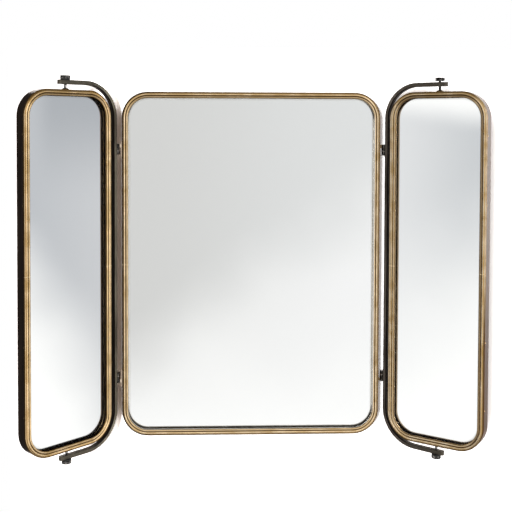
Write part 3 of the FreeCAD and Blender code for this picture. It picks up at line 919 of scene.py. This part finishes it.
def thumb_screw():
    """The upper screw on the Z axis: a crowned knob with a knurled rim, on a threaded shank."""
    bpy.ops.object.select_all(action="DESELECT")
    side_height = KNOB_HEIGHT - KNOB_CROWN
    top = KNOB_BOTTOM + side_height
    bpy.ops.mesh.primitive_cylinder_add(
        vertices=2 * KNURLS,
        radius=KNOB_RADIUS,
        depth=side_height,
        location=(0.0, 0.0, KNOB_BOTTOM + side_height / 2),
    )
    screw = bpy.context.object
    bpy.ops.object.transform_apply(location=True)
    edit(screw)
    pick("FACE", lambda middle, normal: abs(normal.z) > 0.9)
    bpy.ops.mesh.bevel(offset=KNOB_BEVEL, segments=KNOB_BEVEL_STEPS, affect="EDGES")

    def in_valley(middle, normal):
        step = math.atan2(middle.y, middle.x) / math.pi * KNURLS
        on_rim = middle.xy.length > KNOB_RADIUS - RIM_WITHIN
        return on_rim and round(step) % 2 == 1

    pick("VERT", in_valley)
    valley = 1 - KNURL_DEPTH / KNOB_RADIUS
    bpy.ops.transform.resize(value=(valley, valley, 1.0), center_override=(0.0, 0.0, 0.0))

    pick("FACE", lambda middle, normal: normal.z > 0.9 and middle.z > top - LEVEL_WITHIN)
    bpy.ops.mesh.inset(thickness=KNOB_RIM)
    draw_out(-KNOB_SUNK, KNOB_SUNK_TAPER)
    bpy.ops.mesh.inset(thickness=KNOB_SLOPE)
    bpy.ops.transform.translate(value=(0.0, 0.0, KNOB_SLOPE_RISE))
    bpy.ops.mesh.inset(thickness=KNOB_MIDDLE)
    bpy.ops.transform.translate(value=(0.0, 0.0, KNOB_CROWN + KNOB_SUNK - KNOB_SLOPE_RISE))

    pick("FACE", lambda middle, normal: normal.z < -0.9 and middle.z < KNOB_BOTTOM + LEVEL_WITHIN)
    bpy.ops.mesh.inset(thickness=KNOB_RADIUS - KNOB_BEVEL - SHANK_RADIUS)
    narrow = SHANK_ROOT_RADIUS / SHANK_RADIUS
    turns = int((KNOB_BOTTOM - SHANK_END) / SHANK_PITCH)
    for _ in range(turns):
        draw_out(-SHANK_PITCH / 2, narrow)
        draw_out(-SHANK_PITCH / 2, 1 / narrow)
    draw_out(SHANK_END + turns * SHANK_PITCH - KNOB_BOTTOM, SHANK_END_TAPER)
    bpy.ops.object.mode_set(mode="OBJECT")
    bpy.ops.object.shade_smooth_by_angle(angle=KNOB_CREASE)
    return screw


knob_metal, place = start_finish("knob_metal")
turning = cloud(place, TURNING_SCALE, 3.0)
grime = cloud(place, GRIME_SCALE)
rubbed = rise(turning * 0.4 + grime * 0.6, 0.48, 0.62)
colour = tint(rise(grime, 0.35, 0.65), KNOB_DARK, KNOB_LIGHT)
end_finish(
    place,
    relief=turning,
    depth=KNOB_RELIEF,
    Base_Color=tint(rubbed * 0.75, colour, KNOB_RUBBED),
    Roughness=0.42 - 0.14 * rubbed,
    Metallic=1.0,
    Specular_Tint=KNOB_AT_GRAZING,
)

pattern = thumb_screw()
for side in SIDES:
    for end in ENDS:
        name = side + "_" + end
        spot = Matrix.Translation(pivots[side + "_wing"])
        screw = copies(pattern, [spot @ OVER[end]], name + "_knob_screw")
        coat(screw, knob_metal)
        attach(screw, name + "_thumb_screw")
        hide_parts(name + "_thumb_screw")
bpy.data.objects.remove(pattern)

# Keyhole plates
# Two zinc plated steel plates are let into the back of the centre board. A wall screw's head
# goes in at the round opening and rides up the slot, and carries the whole mirror.

ZINC_DARK = (0.30, 0.31, 0.32)
ZINC_LIGHT = (0.56, 0.57, 0.58)
SPANGLE_SCALE = 260.0
ZINC_SCALE = 300.0
ZINC_RELIEF = 0.03 * MM

zinc, place = start_finish("zinc")
spangle = place.node("TexVoronoi", {}, {"Vector": place, "Scale": SPANGLE_SCALE}, output="Distance")
brushed = cloud(place, ZINC_SCALE)
end_finish(
    place,
    relief=brushed,
    depth=ZINC_RELIEF,
    Base_Color=tint(rise(spangle * 0.6 + brushed * 0.5, 0.3, 0.8), ZINC_DARK, ZINC_LIGHT),
    Roughness=0.34 + 0.2 * brushed,
    Metallic=1.0,
)
give(zinc, "keyhole_plates")

# Wall, floor and light
# The mirror hangs on a plain white board over a pale floor, with painted light that lifts the
# board's shadow at both ends of the left gap. Daylight comes from the left, with a dim warm fill
# from the front and left and a white fill from the right. The metal and the glass see a pale room
# with grey screens in it.

WALL_GAP = 0.5 * MM
WALL_LEFT = -0.47
WALL_RIGHT = 1.05
WALL_TOP = 0.42
FLOOR_LEVEL = -0.85
FLOOR_SIZE = 3.0
PAINT_WHITE = (0.86, 0.86, 0.86)
PAINT_SEEN = (2.4, 2.4, 2.4)
PAINT_SEEN_LIFTED = (4.0, 4.1, 4.2)
LIFT_ABOVE = (0.286, 0.316)
LIFT_FROM = (-0.315, -0.295)
LIFT_TO = (-0.238, -0.250)
BRUSH_SCALE = 25.0
DAYLIGHT_POWER = 1.4
DAYLIGHT_SPREAD = math.radians(10.0)
DAYLIGHT_SIDE = math.radians(-22.0)
DAYLIGHT_RISE = math.radians(8.5)

wall_width = WALL_RIGHT - WALL_LEFT
wall_height = WALL_TOP - FLOOR_LEVEL
wall_middle_x = (WALL_LEFT + WALL_RIGHT) / 2
wall_middle_z = (WALL_TOP + FLOOR_LEVEL) / 2


def seen_ray(place):
    """1 for what the camera, metal and glass see, 0 for light that falls on the object."""
    rays = []
    for output in ("Is Camera Ray", "Is Glossy Ray", "Is Transmission Ray"):
        rays.append(place.node("LightPath", output=output))
    either = rays[0].math("MAXIMUM", rays[0], rays[1])
    return either.math("MAXIMUM", either, rays[2])


white_paint, place = start_finish("white_paint")
brushed = 0.5 + 0.2 * cloud(place, BRUSH_SCALE, 3.0)
across = place.node("SeparateXYZ", {}, {"Vector": place}, output="X") * wall_width + wall_middle_x
up = place.node("SeparateXYZ", {}, {"Vector": place}, output="Y") * wall_height + wall_middle_z
# Painted light on the board at both ends of the left gap, lifting the shadow there.
shadow_lifted = rise(abs(up), *LIFT_ABOVE) * rise(across, *LIFT_FROM) * rise(across, *LIFT_TO)
seen = tint(shadow_lifted, PAINT_SEEN, PAINT_SEEN_LIFTED)
lighting = place.node("BsdfDiffuse", {}, {"Color": PAINT_WHITE, "Roughness": brushed})
looking = place.node("BsdfDiffuse", {}, {"Color": seen, "Roughness": brushed})
front = place.node("MixShader", {}, {0: seen_ray(place), 1: lighting, 2: looking})
behind = place.node("NewGeometry", output="Backfacing")
through = place.node("BsdfTransparent")
one_sided = place.node("MixShader", {}, {0: behind, 1: front, 2: through})
place.node("OutputMaterial", {}, {"Surface": one_sided})

bpy.ops.object.select_all(action="DESELECT")
bpy.ops.mesh.primitive_plane_add(size=1.0, rotation=UPRIGHT)
wall = bpy.context.object
wall.name = "wall"
wall.scale = (wall_width, wall_height, 1.0)
wall.location = (wall_middle_x, WALL_GAP, wall_middle_z)
bpy.ops.mesh.primitive_plane_add(size=FLOOR_SIZE, location=(0.0, WALL_GAP - FLOOR_SIZE / 2, FLOOR_LEVEL))
floor = bpy.context.object
floor.name = "floor"
for plain in (wall, floor):
    plain.data.materials.append(white_paint)
    plain.visible_shadow = False
    plain.visible_diffuse = False
floor.visible_glossy = False
floor.visible_transmission = False

daylight = bpy.data.objects.new("daylight", bpy.data.lights.new("daylight", "SUN"))
bpy.context.scene.collection.objects.link(daylight)
daylight.data.energy = DAYLIGHT_POWER
daylight.data.angle = DAYLIGHT_SPREAD
daylight.rotation_euler = (math.pi / 2 - DAYLIGHT_RISE, 0.0, DAYLIGHT_SIDE)
daylight.visible_glossy = False

ROOM_PALE = (1.06, 1.06, 1.05)
CEILING = (0.22, 0.21, 0.20)
CEILING_FROM = (44.0, 60.0)
DEPTHS = (0.36, 0.34, 0.32)
DEPTHS_FROM = (-28.0, -46.0)
ALCOVE = (0.62, 0.60, 0.58)
ALCOVE_LEFT = (-50.0, -46.0)
ALCOVE_RIGHT = (-12.0, -18.0)
SKYLIGHT = (1.5, 1.47, 1.42)
SKYLIGHT_FOOT = (12.0, 18.0)
SKYLIGHT_TOP = (48.0, 40.0)
SKYLIGHT_SIDES = (50.0, 35.0)
WINDOW = (2.1, 2.06, 2.0)
WINDOW_LEFT = (13.0, 17.0)
WINDOW_RIGHT = (34.0, 30.0)
WINDOW_ENDS = (44.0, 34.0)
CORNER_TONE = (0.44, 0.46, 0.49)
CORNER_FROM = (76.5, 78.2)
CORNER_ABOVE = (-5.0, 2.5)
DARK_RIGHT = (0.20, 0.195, 0.19)
DARK_RIGHT_FROM = (86.0, 94.0)
DARK_LEFT = (0.085, 0.076, 0.070)
DARK_LEFT_FROM = (-64.0, -76.0)
SCREEN_SIDE_OUTER = 14.0
SCREEN_SIDE_INNER = 2.0
SCREEN_FOOT_DRIFT = 6.0
SCREEN_TOP_DRIFT = 2.0
SCREEN_TOP_FADE = 1.0
DRIFT_SCALE = 7.0
FILL_FRONT = (0.072, 0.047, 0.033)
FILL_LEFT = (0.36, 0.27, 0.22)
FILL_LEFT_FROM = (-30.0, -40.0)
FILL_RIGHT = (1.3, 1.3, 1.3)
FILL_RIGHT_FROM = (30.0, 40.0)
FILL_BACK = (0.7, 0.7, 0.7)
FILL_BACK_FROM = (88.0, 96.0)
BACKDROP = (1.0, 1.0, 1.0)
DEGREES = 180.0 / math.pi

room = bpy.data.worlds.new("room")
room.use_nodes = True
room.node_tree.nodes.clear()
bpy.context.scene.world = room
sky = Field(room.node_tree).node("TexCoord", output="Generated")
x, y, z = [sky.node("SeparateXYZ", {}, {"Vector": sky}, output=axis) for axis in "XYZ"]
azimuth = x.math("ARCTAN2", x, -y) * DEGREES
height = z.math("ARCSINE", z) * DEGREES
drift = cloud(sky, DRIFT_SCALE, 2.0) - 0.5


def screen(colour, left, right, low_left, low_right, top, fade, tone_left, tone_right):
    """Hangs a grey cloth in the room: angles in degrees, its lower edge on a slant, soft edges."""
    across = (azimuth - left) / (right - left)
    low = low_left + (low_right - low_left) * across
    inside = rise(azimuth, left - SCREEN_SIDE_OUTER, left - SCREEN_SIDE_INNER)
    inside = inside * rise(azimuth, right + SCREEN_SIDE_OUTER, right + SCREEN_SIDE_INNER)
    inside = inside * rise(height - low + SCREEN_FOOT_DRIFT * drift, -fade, fade)
    from_top = height + SCREEN_TOP_DRIFT * drift
    inside = inside * rise(from_top, top + SCREEN_TOP_FADE, top - SCREEN_TOP_FADE)
    return tint(inside, colour, tint(rise(across, 0.0, 1.0), tone_left, tone_right))


colour = tint(rise(height, *CEILING_FROM), ROOM_PALE, CEILING)
colour = tint(rise(height, *DEPTHS_FROM), colour, DEPTHS)
alcove = rise(azimuth, *ALCOVE_RIGHT) * rise(azimuth, *ALCOVE_LEFT)
colour = tint(alcove, colour, ALCOVE)
skylight = rise(height, *SKYLIGHT_FOOT) * rise(height, *SKYLIGHT_TOP) * rise(abs(azimuth), *SKYLIGHT_SIDES)
colour = tint(skylight, colour, SKYLIGHT)
window = rise(azimuth, *WINDOW_LEFT) * rise(azimuth, *WINDOW_RIGHT) * rise(abs(height), *WINDOW_ENDS)
colour = tint(window, colour, WINDOW)
colour = screen(
    colour,
    left=75.0,
    right=83.0,
    low_left=-6.6,
    low_right=-19.2,
    top=20.0,
    fade=5.0,
    tone_left=(0.54, 0.56, 0.59),
    tone_right=(0.64, 0.65, 0.67),
)
colour = tint(rise(azimuth, *CORNER_FROM) * rise(height, *CORNER_ABOVE), colour, CORNER_TONE)
colour = screen(
    colour,
    left=-7.0,
    right=10.0,
    low_left=-17.0,
    low_right=-15.5,
    top=6.0,
    fade=6.0,
    tone_left=(0.84, 0.84, 0.83),
    tone_right=(0.95, 0.95, 0.95),
)
colour = screen(
    colour,
    left=-7.0,
    right=10.0,
    low_left=-14.8,
    low_right=-5.0,
    top=6.0,
    fade=4.0,
    tone_left=(0.68, 0.68, 0.67),
    tone_right=(0.77, 0.78, 0.78),
)
colour = screen(
    colour,
    left=-59.5,
    right=-52.5,
    low_left=-12.0,
    low_right=-7.0,
    top=1.0,
    fade=7.0,
    tone_left=(0.79, 0.80, 0.81),
    tone_right=(0.62, 0.64, 0.66),
)
colour = tint(rise(azimuth, *DARK_RIGHT_FROM), colour, DARK_RIGHT)
colour = tint(rise(azimuth, *DARK_LEFT_FROM), colour, DARK_LEFT)
shown_room = sky.node("Background", {}, {"Color": colour, "Strength": 1.0})

fill = tint(rise(azimuth, *FILL_LEFT_FROM), FILL_FRONT, FILL_LEFT)
fill = tint(rise(azimuth, *FILL_RIGHT_FROM), fill, FILL_RIGHT)
fill = tint(rise(abs(azimuth), *FILL_BACK_FROM), fill, FILL_BACK)
plain_light = sky.node("Background", {}, {"Color": fill, "Strength": 1.0})
backdrop = sky.node("Background", {}, {"Color": BACKDROP, "Strength": 1.0})
in_metal = sky.node("LightPath", output="Is Glossy Ray")
in_metal = in_metal.math("MAXIMUM", in_metal, sky.node("LightPath", output="Is Transmission Ray"))
lit = sky.node("MixShader", {}, {0: in_metal, 1: plain_light, 2: shown_room})
by_camera = sky.node("LightPath", output="Is Camera Ray")
shown = sky.node("MixShader", {}, {0: by_camera, 1: lit, 2: backdrop})
sky.node("OutputWorld", {}, {"Surface": shown})

# Camera
# It stands 1.7 m in front of the wall, a little left of the middle and just above the upper hinges.
# It looks almost straight ahead, and the shift of its lens brings the whole mirror into the picture.

CAMERA_PLACE = (-0.0543, -1.7158, 0.2622)
CAMERA_YAW = math.radians(-2.126)
CAMERA_PITCH = math.radians(90.0 - 1.894)
CAMERA_ROLL = math.radians(0.202)
CAMERA_LENS = 61.566
CAMERA_SENSOR = 36.0
CAMERA_SHIFT = -0.1906

camera = bpy.data.objects.new("camera", bpy.data.cameras.new("camera"))
bpy.context.scene.collection.objects.link(camera)
camera.data.lens = CAMERA_LENS
camera.data.sensor_width = CAMERA_SENSOR
camera.data.shift_y = CAMERA_SHIFT
aim = Matrix.Rotation(CAMERA_YAW, 4, "Z") @ Matrix.Rotation(CAMERA_PITCH, 4, "X")
aim = aim @ Matrix.Rotation(CAMERA_ROLL, 4, "Z")
camera.matrix_world = Matrix.Translation(CAMERA_PLACE) @ aim
bpy.context.scene.camera = camera
bpy.context.scene.view_settings.view_transform = "Standard"
